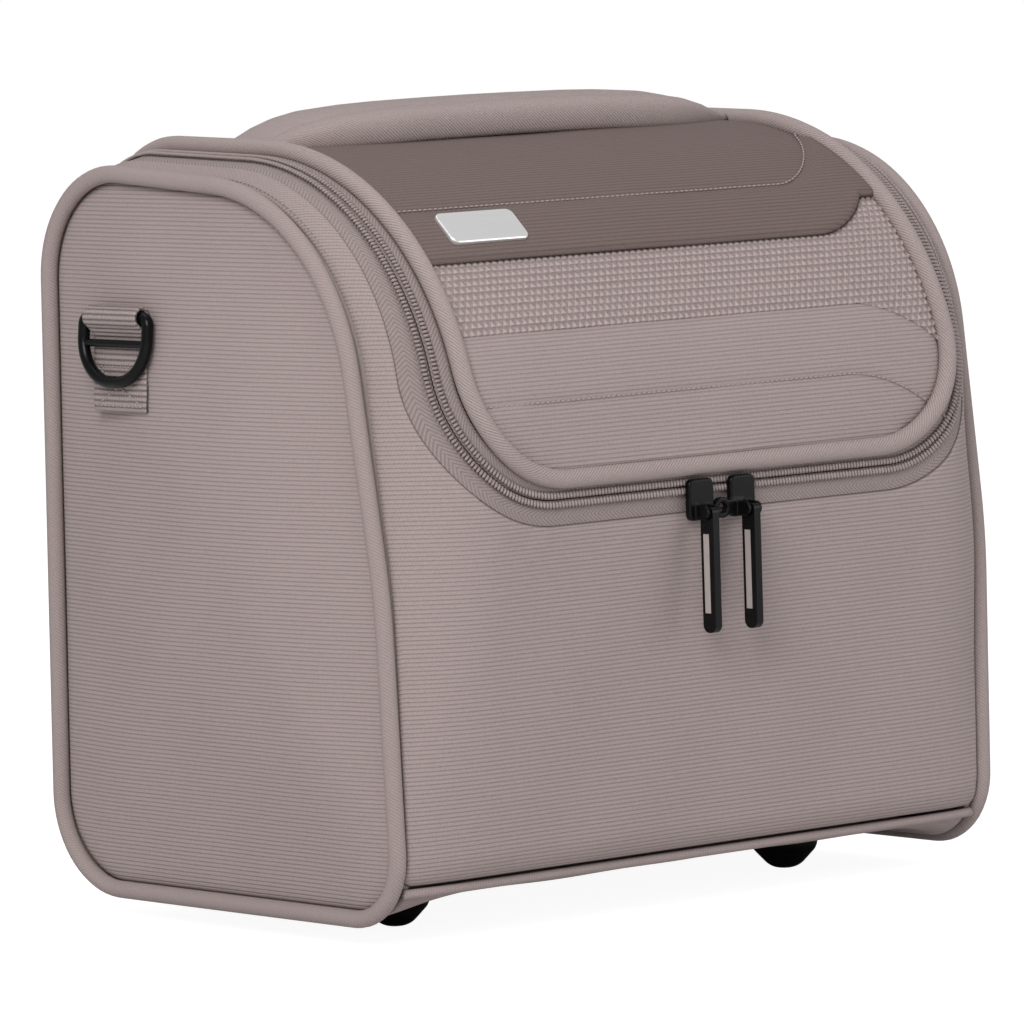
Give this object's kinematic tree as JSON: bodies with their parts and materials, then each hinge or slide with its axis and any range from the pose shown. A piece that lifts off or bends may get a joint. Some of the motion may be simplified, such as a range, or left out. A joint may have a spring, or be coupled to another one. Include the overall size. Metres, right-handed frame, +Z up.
{
  "type": "cosmetic case",
  "caption": "Soft zipped cosmetic case in taupe ribbed fabric with an opening lid, padded top handle, side strap rings and domed feet.",
  "frame": {"origin": "on the floor under the middle of the case, level with the foot bottoms", "axes": "+X to the right seen from the front, +Y towards the back, +Z up"},
  "size_m": [0.3214, 0.2222, 0.295],
  "materials": {
    "ribbed_fabric": "fine ribbed taupe cloth",
    "piping_fabric": "taupe corded piping",
    "twill_fabric": "taupe twill",
    "dark_fabric": "darker taupe coated cloth",
    "relief_fabric": "taupe cloth with small raised triangles",
    "lining": "plain woven lining",
    "foam": "open cell foam",
    "board": "stiffening board",
    "zip_tape": "herringbone tape",
    "zip_coil": "nylon coil",
    "webbing": "ribbed webbing",
    "black_metal": "satin black",
    "black_gloss": "gloss black",
    "inlay": "taupe inlay",
    "badge_metal": "plain satin plate",
    "foot_rubber": "black",
    "screw_steel": "plain"
  },
  "bodies": {
    "case": {"front_panel": "ribbed_fabric", "back_panel": "ribbed_fabric", "bottom_panel": "ribbed_fabric", "front_board": "board", "back_board": "board", "base_board": "board", "body_lining": "lining", "bottom_piping": "piping_fabric", "body_zip_coil": "zip_coil", "body_zip_tape": "zip_tape", "foot_screws": "screw_steel", "hinge_binding": "zip_tape", "foot_front_left": "foot_rubber", "foot_front_right": "foot_rubber", "foot_back_left": "foot_rubber", "foot_back_right": "foot_rubber", "shoulder_foam_left": "foam", "side_board_left": "board", "side_pad_left": "foam", "side_panel_left": "ribbed_fabric", "side_piping_left": "piping_fabric", "strap_tab_left": "webbing", "shoulder_foam_right": "foam", "side_board_right": "board", "side_pad_right": "foam", "side_panel_right": "ribbed_fabric", "side_piping_right": "piping_fabric", "strap_tab_right": "webbing"},
    "lid": {"lid_top_panel": "dark_fabric", "lid_relief_band": "relief_fabric", "lid_front_panel": "ribbed_fabric", "lid_piping": "twill_fabric", "lid_foam": "foam", "lid_lining": "lining", "lid_zip_tape": "zip_tape", "lid_zip_coil": "zip_coil", "badge_plate": "badge_metal", "handle_grip": "twill_fabric", "handle_top_strip": "dark_fabric"},
    "slider_left": {"zip_slider_left": "black_metal"},
    "slider_right": {"zip_slider_right": "black_metal"},
    "puller_left": {"puller_left": "black_gloss", "puller_inlay_left": "inlay"},
    "puller_right": {"puller_right": "black_gloss", "puller_inlay_right": "inlay"},
    "ring_left": {"strap_ring_left": "black_metal"},
    "ring_right": {"strap_ring_right": "black_metal"}
  },
  "joints": [
    {"name": "lid_hinge", "type": "hinge", "parent": "case", "child": "lid", "pos_m": [0, 0.0782, 0.2706], "axis": [-1, 0, 0], "range_deg": [0, 110]},
    {"name": "slider_left_run", "type": "slide", "parent": "lid", "child": "slider_left", "axis": [-1, 0, 0], "range_m": [0, 0.058]},
    {"name": "slider_right_run", "type": "slide", "parent": "lid", "child": "slider_right", "axis": [1, 0, 0], "range_m": [0, 0.067]},
    {"name": "puller_left_swing", "type": "hinge", "parent": "slider_left", "child": "puller_left", "pos_m": [-0.015, -0.1176, 0.1462], "axis": [-1, 0, 0], "range_deg": [0, 170]},
    {"name": "puller_right_swing", "type": "hinge", "parent": "slider_right", "child": "puller_right", "pos_m": [0.0052, -0.1176, 0.1462], "axis": [-1, 0, 0], "range_deg": [0, 170]},
    {"name": "ring_left_swing", "type": "hinge", "parent": "case", "child": "ring_left", "pos_m": [-0.15626, 0.04, 0.221], "axis": [0, 1, 0], "range_deg": [0, 150]},
    {"name": "ring_right_swing", "type": "hinge", "parent": "case", "child": "ring_right", "pos_m": [0.15626, 0.04, 0.221], "axis": [0, -1, 0], "range_deg": [0, 150]}
  ]
}
